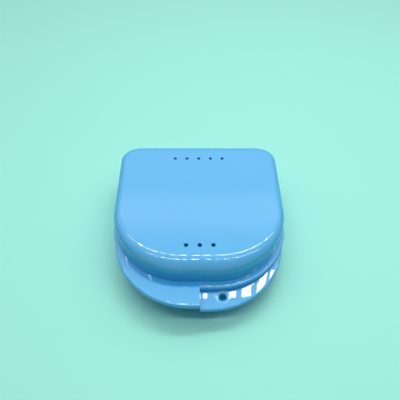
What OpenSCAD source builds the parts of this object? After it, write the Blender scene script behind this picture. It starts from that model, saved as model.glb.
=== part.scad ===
// Denture case: two domed half shells with vents, shut along a flange with two half lips
// in front and joined by a snap hinge behind. The case lies shut on its base, front towards -Y.

/* [Shells] */
// Outside width of the shells at the parting line
case_w = 74.2; // [66:0.2:84]
// Outside depth of the shells at the parting line, front to back
case_d = 69.6; // [60:0.2:80]
// Height of the lid, from the underside of its flange to its flat top
lid_h = 12.5; // [10:0.5:20]
// Depth of the base, from the top of its flange to its flat underside
base_h = 12.5; // [10:0.5:20]
// Width of the straight stretch in the middle of the shells' front
front_flat = 13.8; // [8:0.2:24]
// Radius of the two back corners, seen from above
back_r = 10; // [9:0.5:16]
// Radius of the rounded edge between the walls and the flat top
crown_r = 5.5; // [4:0.5:7.5]
// Thickness of the walls and of the flat top
wall = 2; // [1.9:0.1:2.6]
// How far the wall leans inwards between its foot and the crown, as draft for the mould
lean = 0.25; // [0.1:0.05:0.5]

/* [Flange and lips] */
// Thickness of the lid's flange and lip
lid_flange_t = 2; // [1.8:0.1:3]
// Thickness of the base's flange, and of its lip before the slope is cut
base_flange_t = 2.8; // [2.4:0.1:3.6]
// How far the flange stands out in front of the wall
flange_front = 2.8; // [1.5:0.1:4]
// How far the flange stands out at the sides and the back
flange_side = 0.5; // [0.4:0.1:1.4]
// Radius of the rounded outer edges of the flange and lips
flange_edge_r = 0.45; // [0.25:0.05:0.6]
// How far the lid's lip, on the left, stands out in front of the wall
lid_lip = 10.8; // [8:0.2:14]
// How far the base's lip, on the right, stands out in front of the wall
base_lip = 10.2; // [8:0.2:14]
// Width of the straight stretch in the middle of the lips' front
lip_flat = 6; // [2:0.2:16]
// How far inside the wall's sides the lips' rounded corners end
lip_in = 1; // [0.8:0.1:2]
// How much lower the top of the base's lip lies at its front than at its root
lip_drop = 1.2; // [0.4:0.1:2]
// How far behind the front wall the slope of the base's lip starts
lip_bend = 10; // [6:1:20]
// Gap between the two flanges while the case is shut
parting_gap = 0.3; // [0.2:0.05:0.5]

/* [Collar and catch] */
// Height of the collar that stands up from the base inside the lid
collar_h = 1.8; // [1.6:0.1:2.6]
// Thickness of the collar
collar_t = 0.8; // [0.7:0.1:1]
// Gap between the collar and the lid
collar_gap = 0.3; // [0.2:0.05:0.35]
// Bevel along the upper outer edge of the collar
collar_bevel = 0.3; // [0.1:0.1:0.4]
// Length of the catch ridge on the front of the collar
catch_w = 10; // [4:1:13]
// Radius of the catch ridge
catch_r = 0.45; // [0.35:0.05:0.5]
// How far the catch ridge stands proud of the collar
catch_out = 0.2; // [0.1:0.05:0.25]
// Depth of the catch ridge's middle below the collar's top
catch_down = 0.7; // [0.6:0.05:0.8]

/* [Hinge] */
// Distance between the middles of the two hinge clips
hinge_spacing = 34; // [24:1:40]
// Radius of the hinge pins on the base
pin_r = 1; // [0.8:0.1:1.4]
// Radial running gap between a pin and its clip
pin_gap = 0.08; // [0.04:0.01:0.1]
// Thickness of a clip or an ear around the pin
clip_wall = 1; // [0.8:0.1:1.4]
// Width of the lid's hinge clips
clip_w = 7; // [4:0.5:9]
// Thickness of the ears that hold the pins
ear_t = 2; // [1.5:0.1:3]
// Gap between a clip and the ear beside it
ear_gap = 0.3; // [0.2:0.05:0.5]
// Clearance between the turning hinge pieces and the walls
swing_gap = 0.4; // [0.3:0.05:0.8]
// Height of a clip's arm, or of an ear's web, where it meets the wall
arm_h = 4.6; // [3:0.2:5]
// Opening of a clip's mouth, in degrees
mouth_angle = 95; // [80:1:100]

/* [Vents] */
// Distance between neighbouring vents
vent_pitch = 5.5; // [3.5:0.1:6]
// Number of vents in the back row
back_vents = 5; // [3:1:7]
// Diameter of the back vents
back_vent_d = 1.4; // [1:0.1:2.5]
// Distance of the back row from the back wall's outside
back_vent_in = 10.4; // [8:0.2:20]
// Number of vents in the front row
front_vents = 3; // [1:1:5]
// Diameter of the front vents
front_vent_d = 1.7; // [1:0.1:2.5]
// Distance of the front row from the front wall's outside
front_vent_in = 10.8; // [9:0.2:20]

/* [Cord hole] */
// Diameter of the cord hole in the base's lip
cord_hole_d = 3; // [2:0.1:4]
// Distance of the cord hole from the middle of the case
cord_hole_x = 9.2; // [5:0.2:16]
// Distance of the cord hole's middle in front of the wall
cord_hole_out = 5; // [4.4:0.1:6.5]
// Bevel around the cord hole's mouth
cord_bevel = 0.35; // [0.1:0.05:0.5]

/* [Hidden] */
$fn = 96;
plastic = [0.44, 0.76, 0.96];
over = 1;        // how far a cutter runs past what it cuts
root = 0.5;      // how deep a web or arm is sunk into the wall that carries it

clip_r = pin_r + pin_gap + clip_wall;
hinge_out = clip_r + swing_gap; // from the back wall to the hinge axis
station_w = clip_w + 2 * ear_gap + 2 * ear_t;
notch_w = station_w + 2 * swing_gap;
skin = wall - collar_t - collar_gap; // what is left of the lid's wall beside the collar
rebate_h = collar_h - parting_gap + collar_gap;
ring_grip = skin - collar_gap; // how deep the flange reaches into the wall

// The whole case, lips and hinge included, is centred on the origin and stands on z = 0.
mid_y = (lid_lip - hinge_out - clip_r) / 2;
front_y = mid_y - case_d / 2;
back_y = mid_y + case_d / 2;
hinge_y = back_y + hinge_out;
hinge_z = base_h + parting_gap / 2;

// An outline seen from above is [half width, front y, back y, front corner radius, back corner radius].
function outline(out_front, out_side, flat) = [
    case_w / 2 + out_side, front_y - out_front, back_y + out_side,
    case_w / 2 + out_side - flat / 2, back_r + out_side
];
function inset(o, d) = [o[0] - d, o[1] + d, o[2] - d, o[3] - d, o[4] - d];
function polar(r, angle) = r * [cos(angle), sin(angle)];

wall_line = outline(0, 0, front_flat);
flange_line = outline(flange_front, flange_side, front_flat);
lid_lip_line = outline(lid_lip, -lip_in, lip_flat);
base_lip_line = outline(base_lip, -lip_in, lip_flat);

// Flat shapes

module pie(centre, r, from, to) {
    mid = (from + to) / 2;
    intersection() {
        translate(centre) circle(r);
        polygon([centre, centre + polar(2 * r, from), centre + polar(3 * r, mid), centre + polar(2 * r, to)]);
    }
}

// A whole outline as a flat shape
module outline_area(o) {
    fx = o[0] - o[3];
    fy = o[1] + o[3];
    bx = o[0] - o[4];
    by = o[2] - o[4];
    for (s = [-1, 1]) {
        translate([s * fx, fy]) circle(o[3]);
        translate([s * bx, by]) circle(o[4]);
    }
    polygon([
        [-fx, o[1]], [fx, o[1]], [fx, fy], [o[0], fy], [o[0], by], [bx, by],
        [bx, o[2]], [-bx, o[2]], [-bx, by], [-o[0], by], [-o[0], fy], [-fx, fy]
    ]);
}

// Wall sections have x outwards from the outline and y up from the parting face.
// They reach inwards by $reach, to the middle of the corner or of the shell.

// Solid section of a dome with a leaning wall and a rounded crown, carried on for some way below
module dome_section(h, r, below, reach) {
    cx = -lean - r;
    cy = h - r;
    foot = lean * below / cy;
    polygon([[-reach, -below], [foot, -below], [-lean, cy], [cx, cy], [cx, h], [-reach, h]]);
    pie([cx, cy], r, 0, 90);
}

module shell_section(h) {
    difference() {
        dome_section(h, crown_r, 0, $reach);
        translate([-wall, 0]) dome_section(h - wall, crown_r - wall, over, $reach);
    }
}

// The lid's wall is thinner at its foot, where the collar stands inside it.
module lid_section() {
    difference() {
        shell_section(lid_h);
        translate([-wall - over, -over]) square([wall + over - skin, rebate_h + over]);
    }
}

// The base's wall carries the collar, which stands past the parting face.
module base_section() {
    shell_section(base_h);
    translate([-wall, -collar_h]) polygon([
        [0, 0], [collar_t - collar_bevel, 0], [collar_t, collar_bevel],
        [collar_t, collar_h + root], [0, collar_h + root]
    ]);
}

module plate_section(t) {
    e = flange_edge_r;
    polygon([[-$reach, 0], [-e, 0], [-e, e], [0, e], [0, t - e], [-e, t - e], [-e, t], [-$reach, t]]);
    pie([-e, e], e, -90, 0);
    pie([-e, t - e], e, 0, 90);
}

// Sweeps

// Turns a wall section round a corner of the given radius, cut off at the corner's middle
module corner(r) {
    rotate_extrude(angle = 90) intersection() {
        translate([r, 0]) let($reach = r + over) children();
        translate([0, -r]) square([2 * r, 3 * r]);
    }
}

// Carries a wall section round the right half of an outline
module sweep_half(o) {
    fx = o[0] - o[3];
    fy = o[1] + o[3];
    bx = o[0] - o[4];
    by = o[2] - o[4];
    translate([fx, o[1]]) rotate([90, 0, -90]) linear_extrude(fx) let($reach = o[3]) children();
    translate([fx, fy]) rotate(-90) corner(o[3]) children();
    translate([o[0], by]) rotate([90, 0, 0]) linear_extrude(by - fy) let($reach = o[0]) children();
    translate([bx, by]) corner(o[4]) children();
    translate([0, o[2]]) rotate([90, 0, 90]) linear_extrude(bx) let($reach = o[4]) children();
}

module left() mirror([1, 0, 0]) children();

module sweep(o) {
    sweep_half(o) children();
    left() sweep_half(o) children();
}

// Places a flat shape drawn round the hinge axis, x backwards and y up, at both hinge stations
module at_hinge(width) {
    for (s = [-1, 1])
        translate([s * hinge_spacing / 2 - width / 2, hinge_y, hinge_z])
            rotate([90, 0, 90]) linear_extrude(width) children();
}

// Places a piece at the lid's or the base's parting face. The base's z runs downwards.
module on_lid() translate([0, 0, base_h + parting_gap]) children();
module on_base() translate([0, 0, base_h]) mirror([0, 0, 1]) children();

// Sub-parts shared by the two shells

// Cuts the flange's plate free inside the wall and at the hinge stations
module flange_cuts(t) {
    translate([0, 0, -over]) linear_extrude(t + 2 * over) outline_area(inset(wall_line, ring_grip));
    for (s = [-1, 1])
        translate([s * hinge_spacing / 2 - notch_w / 2, back_y - wall, -over])
            cube([notch_w, wall + flange_side + over, t + 2 * over]);
}

module vent_row(count, y, d, h) {
    for (i = [0 : count - 1])
        translate([(i - (count - 1) / 2) * vent_pitch, y, h - wall - over]) cylinder(h = wall + 2 * over, d = d);
}

module vents(h) {
    vent_row(front_vents, front_y + front_vent_in, front_vent_d, h);
    vent_row(back_vents, back_y - back_vent_in, back_vent_d, h);
}

// Catch along the front of the collar, as a round bar of the given radius
module catch_bar(r, length) {
    translate([-length / 2, front_y + wall - collar_t + catch_r - catch_out, base_h + collar_h - catch_down])
        rotate([0, 90, 0]) cylinder(h = length, r = r);
}

// Web between the wall and a point on the clip's rim, on the upper side of the parting line
module hinge_web() {
    polygon([
        [-hinge_out - root, parting_gap / 2], [-hinge_out - root, arm_h],
        polar(clip_r * 0.97, 45), [0, parting_gap / 2]
    ]);
}

// Lid

module clip_outline() {
    difference() {
        union() {
            circle(clip_r);
            hinge_web();
        }
        circle(pin_r + pin_gap);
        polygon([
            [0, 0], polar(2 * clip_r, 180), polar(3 * clip_r, 180 + mouth_angle / 2),
            polar(2 * clip_r, 180 + mouth_angle)
        ]);
    }
}

module lid() {
    color(plastic) difference() {
        union() {
            on_lid() {
                sweep(wall_line) lid_section();
                difference() {
                    union() {
                        sweep(flange_line) plate_section(lid_flange_t);
                        left() sweep_half(lid_lip_line) plate_section(lid_flange_t);
                    }
                    flange_cuts(lid_flange_t);
                }
            }
            at_hinge(clip_w) clip_outline();
        }
        on_lid() vents(lid_h);
        catch_bar(catch_r + collar_gap, catch_w + 2 * collar_gap);
    }
}

// Base

// Space above the sloping top of the base's lip, outside the wall
module lip_slope_cut() {
    start = front_y + lip_bend;
    end = front_y - base_lip;
    fall = lip_drop / (start - end);
    difference() {
        rotate([90, 0, 90]) linear_extrude(case_w)
            polygon([[start, 0], [start, -over], [end - over, -over], [end - over, lip_drop + over * fall]]);
        translate([0, 0, -2 * over]) linear_extrude(lip_drop + 4 * over)
            outline_area(inset(wall_line, -collar_gap));
    }
}

module cord_hole() {
    y = front_y - cord_hole_out;
    top = lip_drop * (lip_bend + cord_hole_out) / (lip_bend + base_lip);
    flare = cord_hole_d + 2 * cord_bevel;
    translate([cord_hole_x, y, -over]) cylinder(h = base_flange_t + 2 * over, d = cord_hole_d);
    translate([cord_hole_x, y, top - over])
        cylinder(h = over + cord_bevel, d1 = flare + 2 * over, d2 = cord_hole_d);
    translate([cord_hole_x, y, base_flange_t - cord_bevel])
        cylinder(h = over + cord_bevel, d1 = cord_hole_d, d2 = flare + 2 * over);
}

module ear_outline() {
    circle(clip_r);
    mirror([0, 1]) hinge_web();
}

module hinge_pins() {
    for (s = [-1, 1])
        translate([s * hinge_spacing / 2 - station_w / 2 + root, hinge_y, hinge_z])
            rotate([0, 90, 0]) cylinder(h = station_w - 2 * root, r = pin_r);
}

module base() {
    color(plastic) {
        on_base() {
            difference() {
                sweep(wall_line) base_section();
                vents(base_h);
            }
            difference() {
                union() {
                    sweep(flange_line) plate_section(base_flange_t);
                    sweep_half(base_lip_line) plate_section(base_flange_t);
                }
                flange_cuts(base_flange_t);
                lip_slope_cut();
                cord_hole();
            }
        }
        for (s = [-1, 1])
            translate([s * (clip_w + ear_t + 2 * ear_gap) / 2, 0, 0]) at_hinge(ear_t) ear_outline();
        hinge_pins();
        catch_bar(catch_r, catch_w);
    }
}

lid();
base();
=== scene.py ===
"""Looks of the denture case: two glossy moulded shells on a mint floor, under rows of small lamps.

Lengths are written in millimetres, as in the part's source, and made metres when a mesh is built.
"""

import functools
import math

import bmesh
import bpy
from mathutils import Matrix, Vector


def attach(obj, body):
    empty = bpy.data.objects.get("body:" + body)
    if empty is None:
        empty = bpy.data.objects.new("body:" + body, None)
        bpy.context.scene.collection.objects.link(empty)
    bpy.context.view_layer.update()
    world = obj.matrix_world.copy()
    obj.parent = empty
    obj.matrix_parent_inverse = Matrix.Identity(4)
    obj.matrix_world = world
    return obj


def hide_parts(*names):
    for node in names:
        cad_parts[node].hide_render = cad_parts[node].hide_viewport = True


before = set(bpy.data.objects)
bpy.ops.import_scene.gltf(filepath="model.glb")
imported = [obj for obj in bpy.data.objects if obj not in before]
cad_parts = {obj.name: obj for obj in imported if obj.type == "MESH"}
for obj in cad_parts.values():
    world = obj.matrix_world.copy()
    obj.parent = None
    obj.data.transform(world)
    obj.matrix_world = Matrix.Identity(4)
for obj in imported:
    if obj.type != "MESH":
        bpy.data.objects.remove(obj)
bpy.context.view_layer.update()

MM = 0.001

# Camera

IMAGE_PX = 400
FOCAL_PX = 433.0
SENSOR_MM = 36.0
CAMERA_AT = (-2.64, -116.24, 171.54)
LOOK_DOWN, TURN, ROLL = 50.971, 1.436, 1.053  # degrees


def make_camera():
    """The photograph's viewpoint, worked out from the eight vents of the lid."""
    data = bpy.data.cameras.new("camera")
    data.sensor_width = SENSOR_MM
    data.lens = FOCAL_PX / IMAGE_PX * SENSOR_MM
    data.clip_start, data.clip_end = 0.01, 10
    camera = bpy.data.objects.new("camera", data)
    bpy.context.scene.collection.objects.link(camera)
    bpy.context.scene.camera = camera
    down, turn, roll = (math.radians(v) for v in (LOOK_DOWN, TURN, ROLL))
    ahead = Vector((math.sin(turn) * math.cos(down), math.cos(turn) * math.cos(down), -math.sin(down)))
    level = ahead.cross(Vector((0, 0, 1))).normalized()
    above = level.cross(ahead)
    right = math.cos(roll) * level + math.sin(roll) * above
    up = math.cos(roll) * above - math.sin(roll) * level
    camera.matrix_world = Matrix.Translation(Vector(CAMERA_AT) * MM) @ Matrix(
        (
            (right.x, up.x, -ahead.x, 0),
            (right.y, up.y, -ahead.y, 0),
            (right.z, up.z, -ahead.z, 0),
            (0, 0, 0, 1),
        )
    )


make_camera()

# Sizes, as in the part's source

CASE_W, CASE_D = 74.2, 69.6
SHELL_H = 12.5
FRONT_FLAT, BACK_R = 13.8, 10.0
CROWN_R, WALL, LEAN = 5.5, 2.0, 0.25
LID_FLANGE_T, BASE_FLANGE_T = 2.0, 2.8
FLANGE_FRONT, FLANGE_SIDE, EDGE_R = 2.8, 0.5, 0.45
LID_LIP, BASE_LIP, LIP_IN = 10.8, 10.2, 1.0
LIP_DROP, LIP_BEND = 1.2, 10.0
PARTING_GAP = 0.3
COLLAR_H, COLLAR_T, COLLAR_GAP, COLLAR_BEVEL = 1.8, 0.8, 0.3, 0.3
CATCH_W, CATCH_R, CATCH_OUT, CATCH_DOWN = 10.0, 0.45, 0.2, 0.7
HINGE_SPACING, PIN_R, PIN_GAP, CLIP_WALL, CLIP_W = 34.0, 1.0, 0.08, 1.0, 7.0
EAR_T, EAR_GAP, SWING_GAP, ARM_H, MOUTH_ANGLE = 2.0, 0.3, 0.4, 4.6, 95.0
ROOT = 0.5
VENT_PITCH = 5.5
BACK_VENTS, BACK_VENT_D, BACK_VENT_IN = 5, 1.4, 10.4
FRONT_VENTS, FRONT_VENT_D, FRONT_VENT_IN = 3, 1.7, 10.8
VENT_BEVEL = 0.12
CORD_D, CORD_X, CORD_OUT = 3.0, 9.2, 5.0

CLIP_R = PIN_R + PIN_GAP + CLIP_WALL
HINGE_OUT = CLIP_R + SWING_GAP
MID_Y = (LID_LIP - HINGE_OUT - CLIP_R) / 2
FRONT_Y, BACK_Y = MID_Y - CASE_D / 2, MID_Y + CASE_D / 2
HINGE_Y, HINGE_Z = BACK_Y + HINGE_OUT, SHELL_H + PARTING_GAP / 2
LID_FOOT, BASE_RIM = SHELL_H + PARTING_GAP, SHELL_H
SKIN = WALL - COLLAR_T - COLLAR_GAP
REBATE_H = COLLAR_H - PARTING_GAP + COLLAR_GAP
STATION_W = CLIP_W + 2 * EAR_GAP + 2 * EAR_T
NOTCH_W = STATION_W + 2 * SWING_GAP
CROWN_Z = SHELL_H - CROWN_R
LIP_FALL = LIP_DROP / (LIP_BEND + BASE_LIP)

# Small forms that only these meshes have

LIP_SHOWN_FLAT = 8.0  # the lips' straight front, a little longer than in the solids
LIP_EDGE_R, LIP_EDGE_RUN = 0.9, 0.2  # a lip's upper edge, and the share of the corner where it shrinks
FLANGE_EDGE_R, FLANGE_EDGE_RUN = 1.2, 0.7  # the same for the lid's flange in front
UNDER_R = 0.15  # radius of the lower edge of the lid's flange and lip
FLANGE_SAG, FLANGE_SAG_SHARE = 0.7, 0.9  # how far the flange's underside follows the lip's slope
SAG_RUN = 1.0  # the underside is level at the middle and sags fully from this far out
FRONT_CROWN_R, SIDE_CROWN_R = 6.3, 3.4  # the crown bends gently in front and tightly at the sides
CORD_MOUTH_W, CORD_MOUTH_H, CORD_ROUND_FOOT = 1.4, 0.5, 0.6
CORD_MOUTH_RISE = 0.004  # lets the mouth's edge cross the lip instead of only touching it
SOFT_EDGE = 0.15  # radius that a mould leaves on its sharp edges
RIM_FLAT = 0.4  # how far outside the collar a point lies on the base's flat rim
LEAST_EDGE = 0.1  # least height of the upright edge below the rounded one on the base's lip
ARM_BITE = 0.02  # how far the arm of a clip or ear reaches into its barrel
ARM_LEAVES = 45  # degrees up or down from level at which the arm's outline leaves the barrel
CUT_PAST = 1  # how far the cord hole's cutter stands past both mouths

# How finely curves are made

FRONT_STEPS, SIDE_STEPS, BACK_STEPS = 45, 8, 22
FRONT_STATIONS = (0, 0.1, 0.5, 1)  # closer at the middle, where the lips start
LIP_STEPS = 34  # of the front corner's steps, those along a lip
MEET_AT = LIP_STEPS / FRONT_STEPS  # where along the corner a lip meets the flange
CROWN_STEPS, HOLLOW_STEPS, EDGE_STEPS, CORNER_STEPS, MOUTH_STEPS = 18, 12, 6, 4, 8
HOLE_SIDES, PIN_SIDES, CATCH_SIDES, VENT_SIDES = 64, 48, 32, 40
HINGE_ARC_STEP = 5  # degrees
SAME_PLACE = 2e-7  # points nearer to each other than this, in metres, become one

# Outlines seen from above

FRONT, FRONT_CORNER, SIDE, BACK_CORNER, BACK = range(5)  # the parts of an outline's right half


def outline(out_front, out_side, flat):
    """Half width, front y, back y, front corner radius and back corner radius."""
    half = CASE_W / 2 + out_side
    return half, FRONT_Y - out_front, BACK_Y + out_side, half - flat / 2, BACK_R + out_side


WALL_LINE = outline(0, 0, FRONT_FLAT)
FLANGE_LINE = outline(FLANGE_FRONT, FLANGE_SIDE, FRONT_FLAT)
LIP_LINE = outline(LID_LIP, -LIP_IN, LIP_SHOWN_FLAT)  # both lips; the base's is shown as long as the lid's


def outline_point(line, part, t):
    """A point on an outline's right half and its outward direction; t goes from 0 to 1 along a part."""
    half, front, back, front_r, back_r = line
    if part == FRONT:
        return ((half - front_r) * t, front), (0, -1)
    if part == SIDE:
        return (half, front + front_r + (back - back_r - front - front_r) * t), (1, 0)
    if part == BACK:
        return ((half - back_r) * (1 - t), back), (0, 1)
    angle = math.radians(90 * t - (90 if part == FRONT_CORNER else 0))
    out = (math.cos(angle), math.sin(angle))
    r = front_r if part == FRONT_CORNER else back_r
    middle = (half - front_r, front + front_r) if part == FRONT_CORNER else (half - back_r, back - back_r)
    return (middle[0] + r * out[0], middle[1] + r * out[1]), out


def half_stations():
    """(part, t, whether the flange is there) from the middle of the front to the middle of the back."""
    back_run = CASE_W / 2 - BACK_R
    near, far = HINGE_SPACING / 2 - NOTCH_W / 2, HINGE_SPACING / 2 + NOTCH_W / 2
    found = [(FRONT, t, True) for t in FRONT_STATIONS]
    for part, steps in ((FRONT_CORNER, FRONT_STEPS), (SIDE, SIDE_STEPS), (BACK_CORNER, BACK_STEPS)):
        found += [(part, (i + 1) / steps, True) for i in range(steps)]
    notch_start, notch_end = 1 - far / back_run, 1 - near / back_run
    found += [(BACK, notch_start, True), (BACK, notch_start, False)]
    found += [(BACK, notch_end, False), (BACK, notch_end, True)]
    return found + [(BACK, 1, True)]


# Wall sections


def arc(x, z, r, first, last, steps):
    """Points of an arc in a wall section, between two angles in degrees."""
    angles = [math.radians(first + (last - first) * i / steps) for i in range(steps + 1)]
    return [(x + r * math.cos(a), z + r * math.sin(a)) for a in angles]


def rounded(corners):
    """A run of section points from (x, z, radius) corners, each rounded unless its radius is 0."""
    out = []
    for i, (x, z, r) in enumerate(corners):
        if r == 0 or i in (0, len(corners) - 1):
            out.append((x, z))
            continue
        here = Vector((x, z))
        a = (Vector(corners[i - 1][:2]) - here).normalized()
        b = (Vector(corners[i + 1][:2]) - here).normalized()
        half = a.angle(b) / 2
        middle = here + (a + b).normalized() * (r / math.sin(half))
        start, end = here + a * (r / math.tan(half)), here + b * (r / math.tan(half))
        for k in range(CORNER_STEPS + 1):
            direction = (start - middle).lerp(end - middle, k / CORNER_STEPS).normalized()
            out.append(tuple(middle + direction * r))
    return out


def lean_x(z, inset=0.0):
    """How far in the leaning wall stands at a height above its foot."""
    return -inset - LEAN * z / CROWN_Z


def crown_outside(out):
    """The rounded edge of a shell, whose radius follows the direction that it faces."""
    r = SIDE_CROWN_R * out[0] ** 2 + (FRONT_CROWN_R if out[1] < 0 else CROWN_R) * out[1] ** 2
    z = SHELL_H - r
    return arc(lean_x(z) - r, z, r, 0, 90, CROWN_STEPS)


def crown_inside():
    """The rounded edge of the hollow, from its flat top to the wall."""
    return arc(-LEAN - CROWN_R, CROWN_Z, CROWN_R - WALL, 90, 0, HOLLOW_STEPS)


INSIDE_OF_LID = crown_inside() + rounded(
    [
        (lean_x(CROWN_Z, WALL), CROWN_Z, 0),
        (lean_x(REBATE_H, WALL), REBATE_H, SOFT_EDGE),
        (-SKIN, REBATE_H, SOFT_EDGE),
        (-SKIN, 0, SOFT_EDGE),
        (-SKIN / 2, 0, 0),
    ]
)[1:]
INSIDE_OF_BASE = crown_inside() + rounded(
    [
        (lean_x(CROWN_Z, WALL), CROWN_Z, 0),
        (-WALL, 0, 0),
        (-WALL, -COLLAR_H, SOFT_EDGE),
        (-WALL + COLLAR_T - COLLAR_BEVEL, -COLLAR_H, SOFT_EDGE / 2),
        (-WALL + COLLAR_T, -COLLAR_H + COLLAR_BEVEL, SOFT_EDGE / 2),
        (-WALL + COLLAR_T, 0, SOFT_EDGE),
        (-WALL + COLLAR_T + RIM_FLAT, 0, 0),
    ]
)[1:]


def on_line(line, part, t, section):
    """Section points as (x, y, z) at a station, with x measured outwards from the line."""
    (px, py), (nx, ny) = outline_point(line, part, t)
    return [(px + nx * x, py + ny * x, z) for x, z in section]


def lip_meets_flange(x):
    """Where a lip's front corner meets the flange's, both taken x outside their lines, seen from above."""
    half, front, _, r1, _ = LIP_LINE
    ax, ay, r1 = half - r1, front + r1, r1 + x
    half, front, _, r2, _ = FLANGE_LINE
    bx, by, r2 = half - r2, front + r2, r2 + x
    apart = math.hypot(bx - ax, by - ay)
    along = (r1 * r1 - r2 * r2 + apart * apart) / (2 * apart)
    aside = math.sqrt(r1 * r1 - along * along)
    ux, uy = (bx - ax) / apart, (by - ay) / apart
    return ax + along * ux + aside * uy, ay + along * uy - aside * ux


def share_of_corner(line, point):
    """How far round an outline's front corner a point lies, from 0 in front to 1 at the side."""
    half, front, _, r, _ = line
    return 1 + math.degrees(math.atan2(point[1] - front - r, point[0] - half + r)) / 90


def outer_edge(has_lip, part, t, section):
    """Section points on the outer edge: the lip's as far as the flange, and the flange's from there."""
    if not has_lip or part > FRONT_CORNER:
        return on_line(FLANGE_LINE, part, t, section)
    if part == FRONT:
        return on_line(LIP_LINE, part, t, section)
    if math.isclose(t, MEET_AT):
        return [lip_meets_flange(x) + (z,) for x, z in section]
    corner = lip_meets_flange(0)
    if t < MEET_AT:
        return on_line(LIP_LINE, part, t / MEET_AT * share_of_corner(LIP_LINE, corner), section)
    start = share_of_corner(FLANGE_LINE, corner)
    return on_line(FLANGE_LINE, part, start + (t - MEET_AT) / (1 - MEET_AT) * (1 - start), section)


def edge_radius(has_lip, part, t, flange_r):
    """Radius of the edge that faces up: large in front, and down to the flange's own along the corner."""
    if part > FRONT_CORNER:
        return EDGE_R
    if has_lip:
        share = 1.0 if part == FRONT else max(0.0, min(1.0, (MEET_AT - t) / LIP_EDGE_RUN))
        return EDGE_R + (LIP_EDGE_R - EDGE_R) * share
    share = 1.0 if part == FRONT else max(0.0, 1.0 - t / FLANGE_EDGE_RUN)
    return EDGE_R + (flange_r - EDGE_R) * share


def part_way(a, b, run):
    """The point at a distance from a towards b, and b itself if it is nearer."""
    a, b = Vector(a), Vector(b)
    length = (b - a).length
    return tuple(b if length <= run else a + (b - a) * (run / length))


def lip_depth(y):
    """How far the sloping top of the base's lip lies below the rim at a place."""
    return max(0.0, (FRONT_Y + LIP_BEND - y) * LIP_FALL)


def sunk(p):
    """A point on the underside of the lid's flange, brought down towards the sloping lip below it."""
    x, y, z = p
    return x, y, z - min(1.0, abs(x) / SAG_RUN) * min(FLANGE_SAG, FLANGE_SAG_SHARE * lip_depth(y))


def lid_edge(side, part, t):
    """The lid's flange (right) or lip (left) at a station, from the wall's foot out and back to the wall.
    Both have the same number of points, some of them in one place, so that faces can join them."""
    u, h, n = UNDER_R, LID_FLANGE_T, 2 * (EDGE_STEPS + 1)
    foot, top = on_line(WALL_LINE, part, t, [(0, 0), (lean_x(h), h)])
    top = (top[0], top[1], h)
    has_lip = side < 0
    lower = outer_edge(has_lip, part, t, arc(-u, u, u, -90, 0, EDGE_STEPS))
    r = edge_radius(has_lip, part, t, FLANGE_EDGE_R)
    upper = outer_edge(has_lip, part, t, arc(-r, h - r, r, 0, 90, EDGE_STEPS))
    under = part_way(foot, lower[0], FLANGE_FRONT - u)
    over = part_way(top, upper[-1], FLANGE_FRONT - FLANGE_EDGE_R - lean_x(h))
    if side > 0:
        lower, under = [sunk(p) for p in lower], sunk(under)
        return [foot, under] + [under] * n + lower + upper + [over, top]
    return [foot, under] + lower + upper + [over] * n + [over, top]


def base_edge(side, part, t):
    """The base's flange (left) or sloping lip (right) at a station, from the rim out and back to the wall,
    again with the same number of points."""
    e, h, n = EDGE_R, BASE_FLANGE_T, EDGE_STEPS + 1
    foot, top = on_line(WALL_LINE, part, t, [(0, 0), (lean_x(h), h)])
    has_lip = side > 0
    r = edge_radius(has_lip, part, t, EDGE_R)
    upper = outer_edge(has_lip, part, t, arc(-r, r, r, -90, 0, EDGE_STEPS))
    lower = outer_edge(has_lip, part, t, arc(-e, h - e, e, 0, 90, EDGE_STEPS))
    step = part_way(foot, upper[0], min(COLLAR_GAP, math.dist(foot, upper[0]) / 2))
    meet_z = lip_depth(FRONT_Y - FLANGE_FRONT)
    if side < 0:
        meet = (upper[-1][0], upper[-1][1], meet_z)
        return [foot, step] + upper + [meet] * (n + 2) + lower + [lower[-1], top]
    upper = [(x, y, z + lip_depth(y)) for x, y, z in upper]
    low_step = (step[0], step[1], lip_depth(step[1]))
    plan_run = math.dist(low_step[:2], upper[0][:2])
    meet = Vector(low_step).lerp(upper[0], min(1.0, (FLANGE_FRONT - COLLAR_GAP) / plan_run))
    between = (upper[-1][0], upper[-1][1], max(meet_z, upper[-1][2] + LEAST_EDGE))
    under = part_way(top, lower[-1], FLANGE_FRONT - e - lean_x(h))
    return [foot, step] + [low_step] * n + [tuple(meet)] + upper + [between] + lower + [under, top]


# Swept shells


def without_repeats(ids, closed=True):
    """A run of points without those that repeat the one before them."""
    return [v for i, v in enumerate(ids) if (i == 0 and not closed) or v != ids[i - 1]]


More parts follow.
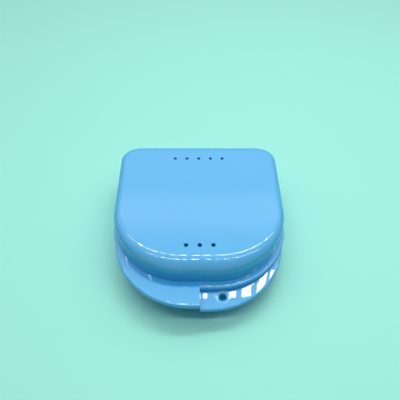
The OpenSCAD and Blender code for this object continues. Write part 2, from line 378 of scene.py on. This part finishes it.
class Shell:
    """A closed mesh swept round the whole outline, one column of points for each station."""

    def __init__(self, inside, edge, place):
        self.points, self.index, self.faces = [], {}, []
        self.place = place
        self.columns = []
        stations = half_stations()
        for side, run in ((1, stations), (-1, stations[::-1])):
            for part, t, flanged in run:
                middle = edge(side, part, t)
                # In the notches for the hinge's clips and ears the wall has no flange
                if not flanged:
                    middle = [middle[0]] * (len(middle) - 1) + [middle[-1]]
                column = on_line(WALL_LINE, part, t, inside) + middle
                column += on_line(WALL_LINE, part, t, crown_outside(outline_point(WALL_LINE, part, t)[1]))
                ids = [self.vertex((side * x, y, z)) for x, y, z in column]
                self.columns.append((ids, (part, t), (side, flanged)))
        self.first, self.last = len(inside), len(inside) + len(middle) - 1
        self.sweep()

    def vertex(self, p):
        """The number of a point, which is shared by all that fall in one place."""
        p = self.place(p)
        key = tuple(round(c, 5) for c in p)
        if key not in self.index:
            self.index[key] = len(self.points)
            self.points.append(p)
        return self.index[key]

    def face(self, ids):
        """Adds a face, unless too few of its points lie apart."""
        kept = without_repeats(ids)
        if len(set(kept)) == len(kept) >= 3:
            self.faces.append(kept)

    def sweep(self):
        """Joins each column to the next, and closes the tops of the dome inside and outside."""
        count = len(self.columns)
        for i in range(count):
            (a, at_a, kind_a), (b, at_b, kind_b) = self.columns[i], self.columns[(i + 1) % count]
            if at_a != at_b:
                for k in range(len(a) - 1):
                    self.face([a[k], b[k], b[k + 1], a[k + 1]])
            elif kind_a != kind_b and without_repeats(a, closed=False) != without_repeats(b, closed=False):
                self.cap(a, b)
        for row in (0, -1):
            self.face([c[0][row] for c in self.columns])

    def cap(self, a, b):
        """Adds the flat faces between two columns at one station, where the flange changes."""
        start = self.first
        for k in range(self.first + 1, self.last + 1):
            if a[k] != b[k]:
                continue
            self.face(a[start : k + 1] + b[start : k + 1][::-1])
            start = k

    def build(self, name):
        return mesh_object(name, self.points, self.faces)


def mesh_object(name, points, faces):
    """A new object at the origin from points in millimetres, with its faces turned outwards."""
    mesh = bpy.data.meshes.new(name)
    mesh.from_pydata([Vector(p) * MM for p in points], [], faces)
    made = bmesh.new()
    made.from_mesh(mesh)
    bmesh.ops.recalc_face_normals(made, faces=made.faces)
    made.to_mesh(mesh)
    made.free()
    obj = bpy.data.objects.new(name, mesh)
    bpy.context.scene.collection.objects.link(obj)
    return obj


# Solid helpers


def join_or_cut(obj, other, operation):
    """Joins or cuts a closed mesh with another, which is then removed."""
    change = obj.modifiers.new(operation.lower(), "BOOLEAN")
    change.operation, change.solver, change.object = operation, "EXACT", other
    take_result(obj)
    bpy.data.objects.remove(other)


def take_result(obj):
    """Replaces the object's mesh by what its modifiers make of it, and removes them."""
    evaluated = obj.evaluated_get(bpy.context.evaluated_depsgraph_get())
    mesh = bpy.data.meshes.new_from_object(evaluated)
    obj.modifiers.clear()
    obj.data = mesh


def prism(name, outline_yz, x0, x1, bevel=SOFT_EDGE):
    """A slab with the given outline in y and z between two x planes, with soft edges on both flat ends."""
    n = len(outline_yz)
    points = [(x, y, z) for x in (x0, x1) for y, z in outline_yz]
    faces = [list(range(n)), list(range(2 * n - 1, n - 1, -1))]
    faces += [[i, i + n, (i + 1) % n + n, (i + 1) % n] for i in range(n)]
    obj = mesh_object(name, points, faces)
    if bevel:
        made = bmesh.new()
        made.from_mesh(obj.data)
        ends = [f for f in made.faces if len(f.verts) > 4]
        edges = list({e for f in ends for e in f.edges})
        bmesh.ops.bevel(
            made, geom=edges, offset=bevel * MM, segments=3, profile=0.5, affect="EDGES", clamp_overlap=True
        )
        made.to_mesh(obj.data)
        made.free()
    return obj


def turned(name, section, x, y, place):
    """A closed round solid about an upright axis, from (radius, height) points that start and end on it."""
    points, faces, rows = [], [], []
    for r, z in section:
        if r == 0:
            rows.append([len(points)] * HOLE_SIDES)
            points.append(place(x, y, z))
            continue
        rows.append(list(range(len(points), len(points) + HOLE_SIDES)))
        for i in range(HOLE_SIDES):
            a = 2 * math.pi * i / HOLE_SIDES
            points.append(place(x + r * math.cos(a), y + r * math.sin(a), z))
    for lower, upper in zip(rows, rows[1:]):
        for i in range(HOLE_SIDES):
            j = (i + 1) % HOLE_SIDES
            faces.append(without_repeats([lower[i], lower[j], upper[j], upper[i]]))
    return mesh_object(name, points, faces)


def polar(r, degrees):
    """A point at a distance and an angle from the hinge's axis."""
    return r * math.cos(math.radians(degrees)), r * math.sin(math.radians(degrees))


def around_hinge(points):
    """Points measured from the hinge's axis, as y and z in the case's own frame."""
    return [(HINGE_Y + y, HINGE_Z + z) for y, z in points]


def arm_foot(up):
    """Where the arm of a clip or ear starts in the wall, from far to near the parting line."""
    return [(-HINGE_OUT - ROOT, up * ARM_H), (-HINGE_OUT - ROOT, up * PARTING_GAP / 2)]


def clip_outline():
    """The lid's open hinge clip: a barrel with a mouth below, and the arm that carries it."""
    mouth_start, mouth_end = 180, int(MOUTH_ANGLE) - 180
    outer = [polar(CLIP_R, a) for a in range(mouth_end, ARM_LEAVES + 1, HINGE_ARC_STEP)]
    inner = [polar(PIN_R + PIN_GAP, a) for a in range(mouth_start, mouth_end - 1, -HINGE_ARC_STEP)]
    foot = arm_foot(1) + [(-CLIP_R + ARM_BITE, PARTING_GAP / 2)]
    return around_hinge(outer + foot + [polar(CLIP_R, 180)] + inner)


def ear_outline():
    """One of the base's ears: a round eye on an arm."""
    eye = [polar(CLIP_R, a) for a in range(-ARM_LEAVES, 180, HINGE_ARC_STEP)]
    foot = [(-CLIP_R + ARM_BITE, -PARTING_GAP / 2)] + arm_foot(-1)[::-1]
    return around_hinge(eye + foot)


def catch_bar(name, r, length):
    """A round bar along the front of the collar: the catch's ridge, or what cuts its groove in the lid."""
    y = FRONT_Y + WALL - COLLAR_T + CATCH_R - CATCH_OUT
    z = BASE_RIM + COLLAR_H - CATCH_DOWN
    angles = [2 * math.pi * i / CATCH_SIDES for i in range(CATCH_SIDES)]
    ring = [(y + r * math.cos(a), z + r * math.sin(a)) for a in angles]
    return prism(name, ring, -length / 2, length / 2)


# Node helpers


def value_node(nodes, kind, **inputs):
    """A new node with plain values in its named inputs."""
    node = nodes.new(kind)
    for name, value in inputs.items():
        node.inputs[name.replace("_", " ")].default_value = value
    return node


def maths(nodes, link, operation, *values):
    """What a Math node makes of sockets and plain numbers."""
    node = nodes.new("ShaderNodeMath")
    node.operation = operation
    for socket, value in zip(node.inputs, values):
        if isinstance(value, (int, float)):
            socket.default_value = value
        else:
            link(value, socket)
    return node.outputs[0]


# Vents


def vent_tree():
    """Geometry nodes that cut two rows of round vents, with a soft rim at both mouths, through a wall."""
    tree = bpy.data.node_groups.new("vent rows", "GeometryNodeTree")
    face = tree.interface
    for kind, names in (
        ("Geometry", ("Shell",)),
        ("Float", ("Pitch", "Back diameter", "Front diameter", "Back row", "Front row")),
        ("Float", ("Wall middle", "Wall", "Rim")),
        ("Int", ("Back vents", "Front vents")),
        ("Material", ("Plastic",)),
    ):
        for name in names:
            face.new_socket(name, in_out="INPUT", socket_type="NodeSocket" + kind)
    face.new_socket("Shell", in_out="OUTPUT", socket_type="NodeSocketGeometry")
    nodes, link = tree.nodes, tree.links.new
    given, result = nodes.new("NodeGroupInput"), nodes.new("NodeGroupOutput")
    work_out = functools.partial(maths, nodes, link)
    cut = nodes.new("GeometryNodeMeshBoolean")
    cut.operation, cut.solver = "DIFFERENCE", "EXACT"
    link(given.outputs["Shell"], cut.inputs[0])
    for row in ("Back", "Front"):
        count, pitch = given.outputs[row + " vents"], given.outputs["Pitch"]
        first, step = nodes.new("ShaderNodeCombineXYZ"), nodes.new("ShaderNodeCombineXYZ")
        row_length = work_out("MULTIPLY", work_out("SUBTRACT", count, 1), pitch)
        link(work_out("MULTIPLY", row_length, -0.5), first.inputs[0])
        link(given.outputs[row + " row"], first.inputs[1])
        link(given.outputs["Wall middle"], first.inputs[2])
        link(pitch, step.inputs[0])
        line = nodes.new("GeometryNodeMeshLine")
        line.mode, line.count_mode = "OFFSET", "TOTAL"
        link(count, line.inputs["Count"])
        link(first.outputs[0], line.inputs["Start Location"])
        link(step.outputs[0], line.inputs["Offset"])
        radius = work_out("MULTIPLY", given.outputs[row + " diameter"], 0.5)
        rim, wall = given.outputs["Rim"], given.outputs["Wall"]
        bore = nodes.new("GeometryNodeMeshCylinder")
        bore.inputs["Vertices"].default_value = VENT_SIDES
        link(radius, bore.inputs["Radius"])
        link(work_out("MULTIPLY", wall, 2.0), bore.inputs["Depth"])
        place_on(nodes, link, line, bore, cut, None)
        for way in (1.0, -1.0):
            flare = nodes.new("GeometryNodeMeshCone")
            flare.inputs["Vertices"].default_value = VENT_SIDES
            wide, narrow = ("Radius Top", "Radius Bottom") if way > 0 else ("Radius Bottom", "Radius Top")
            link(work_out("ADD", radius, work_out("MULTIPLY", rim, 2.0)), flare.inputs[wide])
            link(radius, flare.inputs[narrow])
            link(work_out("MULTIPLY", rim, 2.0), flare.inputs["Depth"])
            height = work_out("SUBTRACT", work_out("MULTIPLY", wall, 0.5), rim)
            if way < 0:
                height = work_out("SUBTRACT", work_out("MULTIPLY", wall, -0.5), rim)
            place_on(nodes, link, line, flare, cut, height)
    realize, paint = nodes.new("GeometryNodeRealizeInstances"), nodes.new("GeometryNodeSetMaterial")
    link(cut.outputs[0], realize.inputs[0])
    link(realize.outputs[0], paint.inputs["Geometry"])
    link(given.outputs["Plastic"], paint.inputs["Material"])
    link(paint.outputs[0], result.inputs[0])
    return tree


def place_on(nodes, link, line, solid, cut, height):
    """Puts a cutter at every point of a row, raised by a height, and hands it to the cut."""
    spread = nodes.new("GeometryNodeInstanceOnPoints")
    link(line.outputs[0], spread.inputs["Points"])
    if height is None:
        link(solid.outputs["Mesh"], spread.inputs["Instance"])
    else:
        raised, way_up = nodes.new("GeometryNodeTransform"), nodes.new("ShaderNodeCombineXYZ")
        link(height, way_up.inputs[2])
        link(solid.outputs["Mesh"], raised.inputs["Geometry"])
        link(way_up.outputs[0], raised.inputs["Translation"])
        link(raised.outputs[0], spread.inputs["Instance"])
    whole = nodes.new("GeometryNodeRealizeInstances")
    link(spread.outputs[0], whole.inputs[0])
    link(whole.outputs[0], cut.inputs[1])


def cut_vents(obj, tree, wall_middle, plastic):
    """Cuts the vents through a shell's flat wall and gives the shell its plastic."""
    values = {
        "Pitch": VENT_PITCH * MM,
        "Back diameter": BACK_VENT_D * MM,
        "Front diameter": FRONT_VENT_D * MM,
        "Back row": (BACK_Y - BACK_VENT_IN) * MM,
        "Front row": (FRONT_Y + FRONT_VENT_IN) * MM,
        "Wall middle": wall_middle * MM,
        "Wall": WALL * MM,
        "Rim": VENT_BEVEL * MM,
        "Back vents": BACK_VENTS,
        "Front vents": FRONT_VENTS,
        "Plastic": plastic,
    }
    change = obj.modifiers.new("vents", "NODES")
    change.node_group = tree
    for socket in tree.interface.items_tree:
        if socket.in_out == "INPUT" and socket.name in values:
            change[socket.identifier] = values[socket.name]
    take_result(obj)


# Plastic

FLOW_SCALE, SMUDGE_SCALE, WAVE_SCALE, PEEL_SCALE = 38, 90, 260, 2400  # larger makes an effect finer


def moulded_skin():
    """Node group: faint flow marks in the colour, handling marks in the gloss and a slightly wavy skin."""
    group = bpy.data.node_groups.new("moulded skin", "ShaderNodeTree")
    face = group.interface
    for name, kind in (
        ("Colour", "NodeSocketColor"),
        ("Flow marks", "NodeSocketFloat"),
        ("Gloss", "NodeSocketFloat"),
        ("Handling marks", "NodeSocketFloat"),
        ("Waviness", "NodeSocketFloat"),
        ("Peel", "NodeSocketFloat"),
        ("Offset", "NodeSocketVector"),
    ):
        face.new_socket(name, in_out="INPUT", socket_type=kind)
    for name, kind in (
        ("Colour", "NodeSocketColor"),
        ("Roughness", "NodeSocketFloat"),
        ("Normal", "NodeSocketVector"),
    ):
        face.new_socket(name, in_out="OUTPUT", socket_type=kind)
    nodes, link = group.nodes, group.links.new
    given, result = nodes.new("NodeGroupInput"), nodes.new("NodeGroupOutput")
    where = nodes.new("ShaderNodeTexCoord")
    shifted = nodes.new("ShaderNodeVectorMath")
    shifted.operation = "ADD"
    link(where.outputs["Object"], shifted.inputs[0])
    link(given.outputs["Offset"], shifted.inputs[1])

    def noise(scale, detail, distortion=0.0):
        node = value_node(nodes, "ShaderNodeTexNoise", Scale=scale, Detail=detail, Distortion=distortion)
        link(shifted.outputs[0], node.inputs["Vector"])
        return node.outputs["Fac"]

    work_out = functools.partial(maths, nodes, link)
    flow = work_out("SUBTRACT", noise(FLOW_SCALE, 3, 1.2), 0.5)
    lightness = work_out("MULTIPLY_ADD", flow, given.outputs["Flow marks"], 1.0)
    shade = nodes.new("ShaderNodeVectorMath")
    shade.operation = "SCALE"
    link(given.outputs["Colour"], shade.inputs[0])
    link(lightness, shade.inputs["Scale"])
    link(shade.outputs[0], result.inputs["Colour"])

    smudge = work_out("MAXIMUM", work_out("SUBTRACT", noise(SMUDGE_SCALE, 5, 0.6), 0.45), 0.0)
    dulled = work_out("MULTIPLY_ADD", smudge, given.outputs["Handling marks"], given.outputs["Gloss"])
    link(dulled, result.inputs["Roughness"])

    wave = value_node(nodes, "ShaderNodeBump", Strength=1.0)
    link(given.outputs["Waviness"], wave.inputs["Distance"])
    link(noise(WAVE_SCALE, 1), wave.inputs["Height"])
    peel = value_node(nodes, "ShaderNodeBump", Strength=1.0)
    link(given.outputs["Peel"], peel.inputs["Distance"])
    link(noise(PEEL_SCALE, 2), peel.inputs["Height"])
    link(wave.outputs[0], peel.inputs["Normal"])
    link(peel.outputs[0], result.inputs["Normal"])
    return group


def from_srgb(r, g, b):
    """A linear colour from levels of 0 to 255 as a screen shows them."""
    return [((v / 255 + 0.055) / 1.055) ** 2.4 if v > 10 else v / 255 / 12.92 for v in (r, g, b)] + [1.0]


def plastic_material(name, skin, colour, offset):
    """Glossy, slightly translucent moulded plastic."""
    material = bpy.data.materials.new(name)
    material.use_nodes = True
    nodes, link = material.node_tree.nodes, material.node_tree.links.new
    surface = nodes["Principled BSDF"]
    surface.inputs["IOR"].default_value = 1.6
    surface.inputs["Subsurface Weight"].default_value = 0.02
    surface.inputs["Subsurface Radius"].default_value = (0.35, 0.7, 1.0)
    surface.inputs["Subsurface Scale"].default_value = 0.0015
    group = nodes.new("ShaderNodeGroup")
    group.node_tree = skin
    values = {"Colour": colour, "Flow marks": 0.07, "Gloss": 0.015, "Handling marks": 0.03}
    values.update({"Waviness": 1.5e-6, "Peel": 1e-7, "Offset": offset})
    for socket, value in values.items():
        group.inputs[socket].default_value = value
    link(group.outputs["Colour"], surface.inputs["Base Color"])
    link(group.outputs["Roughness"], surface.inputs["Roughness"])
    link(group.outputs["Normal"], surface.inputs["Normal"])
    return material


# The two shells

PLASTIC_BLUE = from_srgb(58, 174, 234)
moulded = moulded_skin()
lid_plastic = plastic_material("lid plastic", moulded, PLASTIC_BLUE, (0.0, 0.0, 0.0))
base_plastic = plastic_material("base plastic", moulded, PLASTIC_BLUE, (0.31, 0.17, 0.23))
vents = vent_tree()


def lid_place(p):
    """A section point of the lid, measured up from its foot."""
    return p[0], p[1], LID_FOOT + p[2]


def base_place(p):
    """A section point of the base, measured down from its rim."""
    return p[0], p[1], BASE_RIM - p[2]


def make_lid():
    """The upper shell with its two hinge clips, the catch's groove and the vents."""
    obj = Shell(INSIDE_OF_LID, lid_edge, lid_place).build("lid_shell")
    for s in (-1, 1):
        x = s * HINGE_SPACING / 2
        join_or_cut(obj, prism("clip", clip_outline(), x - CLIP_W / 2, x + CLIP_W / 2), "UNION")
    groove = catch_bar("groove", CATCH_R + COLLAR_GAP, CATCH_W + 2 * COLLAR_GAP)
    join_or_cut(obj, groove, "DIFFERENCE")
    cut_vents(obj, vents, LID_FOOT + SHELL_H - WALL / 2, lid_plastic)
    return obj


def cord_hole_cutter():
    """The cord hole, with its mouths rounded over and its upper mouth tilted with the lip."""
    y = FRONT_Y - CORD_OUT
    r, top, foot = CORD_D / 2, BASE_RIM - lip_depth(y), BASE_RIM - BASE_FLANGE_T
    lower = arc(r + CORD_ROUND_FOOT, foot + CORD_ROUND_FOOT, CORD_ROUND_FOOT, 270, 180, MOUTH_STEPS)
    mouth = [
        (r + CORD_MOUTH_W * (1 + x), top + CORD_MOUTH_RISE - CORD_MOUTH_H * (1 - z))
        for x, z in arc(0, 0, 1, 180, 90, MOUTH_STEPS)
    ]
    low, high = foot - CUT_PAST, top + CUT_PAST
    section = [(0, low), (lower[0][0], low)] + lower + mouth + [(mouth[-1][0], high), (0, high)]
    straight = top - foot - CORD_ROUND_FOOT - CORD_MOUTH_H

    def place(px, py, pz):
        share = max(0.0, min(1.0, (pz - foot - CORD_ROUND_FOOT) / straight))
        return px, py, pz + share * LIP_FALL * (py - y)

    return turned("hole", section, CORD_X, y, place)


def make_base():
    """The lower shell with the ears and pins of the hinge, the catch, the cord hole and the vents."""
    obj = Shell(INSIDE_OF_BASE, base_edge, base_place).build("base_shell")
    for s in (-1, 1):
        for t in (-1, 1):
            x = s * HINGE_SPACING / 2 + t * (CLIP_W + EAR_T + 2 * EAR_GAP) / 2
            join_or_cut(obj, prism("ear", ear_outline(), x - EAR_T / 2, x + EAR_T / 2), "UNION")
        ring = around_hinge([polar(PIN_R, 360 * i / PIN_SIDES) for i in range(PIN_SIDES)])
        x, half = s * HINGE_SPACING / 2, STATION_W / 2 - ROOT
        join_or_cut(obj, prism("pin", ring, x - half, x + half, 0), "UNION")
    join_or_cut(obj, catch_bar("ridge", CATCH_R, CATCH_W), "UNION")
    join_or_cut(obj, cord_hole_cutter(), "DIFFERENCE")
    cut_vents(obj, vents, WALL / 2, base_plastic)
    return obj


SHARP_DEGREES, FLAT_WEIGHT = 34, 60


def finish_shading(obj):
    """Smooth shading with sharp creases, the normals led by the large flat faces."""
    made = bmesh.new()
    made.from_mesh(obj.data)
    bmesh.ops.remove_doubles(made, verts=made.verts, dist=SAME_PLACE)
    bmesh.ops.dissolve_degenerate(made, edges=made.edges, dist=SAME_PLACE)
    bmesh.ops.recalc_face_normals(made, faces=made.faces)
    for f in made.faces:
        f.smooth = True
    for e in made.edges:
        e.smooth = len(e.link_faces) == 2 and e.calc_face_angle(0) < math.radians(SHARP_DEGREES)
    made.to_mesh(obj.data)
    made.free()
    normals = obj.modifiers.new("even shading", "WEIGHTED_NORMAL")
    normals.mode, normals.weight, normals.keep_sharp = "FACE_AREA", FLAT_WEIGHT, True


lid = make_lid()
base = make_base()
for shell, body, slot in ((lid, "lid", "lid_plastic"), (base, "base", "base_plastic")):
    finish_shading(shell)
    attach(shell, body)
    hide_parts(body)

# Floor and light

FLOOR_MINT = from_srgb(163, 240, 225)
FLOOR_HALF, GRAIN_SHADE = 1500, 0.985


def make_floor():
    """A plain mint table top with a barely visible grain."""
    material = bpy.data.materials.new("mint floor")
    material.use_nodes = True
    nodes, link = material.node_tree.nodes, material.node_tree.links.new
    surface = nodes["Principled BSDF"]
    surface.inputs["Roughness"].default_value = 0.6
    surface.inputs["Specular IOR Level"].default_value = 0.2
    where = nodes.new("ShaderNodeTexCoord")
    grain = value_node(nodes, "ShaderNodeTexNoise", Scale=30.0, Detail=4.0)
    tint = nodes.new("ShaderNodeValToRGB")
    tint.color_ramp.elements[0].color = [c * GRAIN_SHADE for c in FLOOR_MINT[:3]] + [1]
    tint.color_ramp.elements[1].color = FLOOR_MINT
    link(where.outputs["Object"], grain.inputs["Vector"])
    link(grain.outputs["Fac"], tint.inputs["Fac"])
    link(tint.outputs[0], surface.inputs["Base Color"])
    corners = [(x * FLOOR_HALF, y * FLOOR_HALF, 0) for x, y in ((-1, -1), (1, -1), (1, 1), (-1, 1))]
    floor = mesh_object("floor", corners, [[0, 1, 2, 3]])
    if floor.data.polygons[0].normal.z < 0:
        floor.data.flip_normals()
    floor.data.materials.append(material)


LAMP_HEIGHT = 400.0
BACK_LAMPS = (  # each one's place along x and width; the crown mirrors them as its upper line of dashes
    ((-130.0, 27.0), (-99.0, 8.5), (-79.5, 8.0), (-59.5, 7.0), (-36.5, 11.5), (-17.0, 11.0))
    + ((0.5, 9.8), (16.3, 9.5), (34.0, 13.0), (56.0, 9.0), (74.5, 11.5), (94.5, 12.0))
    + ((120.5, 23.0), (153.0, 16.0), (188.0, 30.0))
)
FRONT_LAMPS = (  # the crown's lower line
    ((-112.0, 20.0), (-82.0, 13.0), (-58.0, 12.0), (-37.0, 16.0), (-15.0, 7.5), (0.0, 8.5))
    + ((16.5, 6.0), (32.0, 11.0), (63.0, 10.0), (80.5, 7.0), (103.5, 13.0), (129.0, 22.0))
)
BACK_ENDS = ((-172.0, 22.0), (-215.0, 40.0), (240.0, 50.0), (310.0, 60.0))
FRONT_ENDS = ((-152.0, 25.0), (-200.0, 45.0), (165.0, 25.0), (215.0, 50.0), (290.0, 60.0))
LIP_LAMPS = ((2.5, 9.0), (13.25, 5.5), (47.5, 15.0), (70.0, 13.5), (92.3, 14.0))  # for the base's lip
LAMP_ROWS = (  # place along y, length, radiance and lamps
    (128.5, 21.0, 36.0, BACK_LAMPS),
    (-92.0, 22.0, 26.0, FRONT_LAMPS),
    (128.5, 21.0, 11.0, BACK_ENDS),
    (-92.0, 22.0, 11.0, FRONT_ENDS),
    (108.5, 21.0, 18.0, LIP_LAMPS),
)
PANEL = (  # brightness of the soft light from front to back, by y / z of the direction
    ((-0.9, 0.03), (-0.4, 0.26), (-0.1, 0.88), (0.12, 1.02), (0.2, 1.05), (0.66, 1.05))
    + ((0.74, 1.85), (0.8, 1.85), (0.86, 1.15), (1.2, 0.95), (1.9, 0.03))
)
PANEL_SIDES = ((0.4, 1.0), (0.7, 0.75), (1.5, 0.6), (2.4, 0.03))  # its share from the middle out, by x / z
HORIZON = ((0.0, 0.0), (0.001, 1.0))  # the soft light ends here, by height of the direction
ROOM = ((-0.1, 0.0), (-0.06, 1.0))  # the pale room starts here, also by height


def make_lamps():
    """Rows of lamps that all shine straight down, with their brightness given as radiance."""
    lamps = [(x, y, width, length, radiance) for y, length, radiance, row in LAMP_ROWS for x, width in row]
    for i, (x, y, width, length, radiance) in enumerate(lamps):
        data = bpy.data.lights.new(f"lamp_{i}", "AREA")
        data.shape = "RECTANGLE"
        data.size, data.size_y = width * MM, length * MM
        data.energy = radiance * math.pi * data.size * data.size_y
        lamp = bpy.data.objects.new(f"lamp_{i}", data)
        bpy.context.scene.collection.objects.link(lamp)
        lamp.location = Vector((x, y, LAMP_HEIGHT)) * MM


def make_world():
    """A soft panel overhead, and a pale room that is seen and mirrored but lights nothing."""
    world = bpy.data.worlds.new("light box")
    bpy.context.scene.world = world
    world.use_nodes = True
    nodes, link = world.node_tree.nodes, world.node_tree.links.new
    background = nodes["Background"]
    where = nodes.new("ShaderNodeTexCoord")
    split, ray = nodes.new("ShaderNodeSeparateXYZ"), nodes.new("ShaderNodeLightPath")
    link(where.outputs["Generated"], split.inputs[0])
    work_out = functools.partial(maths, nodes, link)
    height = split.outputs["Z"]
    panel = stepped(nodes, link, work_out("DIVIDE", split.outputs["Y"], height), PANEL)
    aside = work_out("ABSOLUTE", work_out("DIVIDE", split.outputs["X"], height))
    sides = stepped(nodes, link, aside, PANEL_SIDES)
    above = stepped(nodes, link, height, HORIZON)
    lights = work_out("MULTIPLY", work_out("MULTIPLY", panel, sides), above)
    shown = work_out("ADD", ray.outputs["Is Camera Ray"], ray.outputs["Is Glossy Ray"])
    room = work_out("MULTIPLY", stepped(nodes, link, height, ROOM), shown)
    link(work_out("ADD", lights, room), background.inputs["Color"])
    background.inputs["Strength"].default_value = 1.0


def stepped(nodes, link, source, stops):
    """Grey levels that follow a value, from (value, level) stops, and stay the same past both ends."""
    first, last = stops[0][0], stops[-1][0]
    span, levels = nodes.new("ShaderNodeMapRange"), nodes.new("ShaderNodeValToRGB")
    span.inputs["From Min"].default_value, span.inputs["From Max"].default_value = first, last
    link(source, span.inputs["Value"])
    link(span.outputs["Result"], levels.inputs["Fac"])
    elements = levels.color_ramp.elements
    for _ in stops[2:]:
        elements.new(0.5)
    for element, (value, level) in zip(elements, stops):
        element.position = (value - first) / (last - first)
        element.color = (level, level, level, 1)
    return levels.outputs["Color"]


make_floor()
make_lamps()
make_world()
bpy.context.scene.view_settings.view_transform = "Standard"
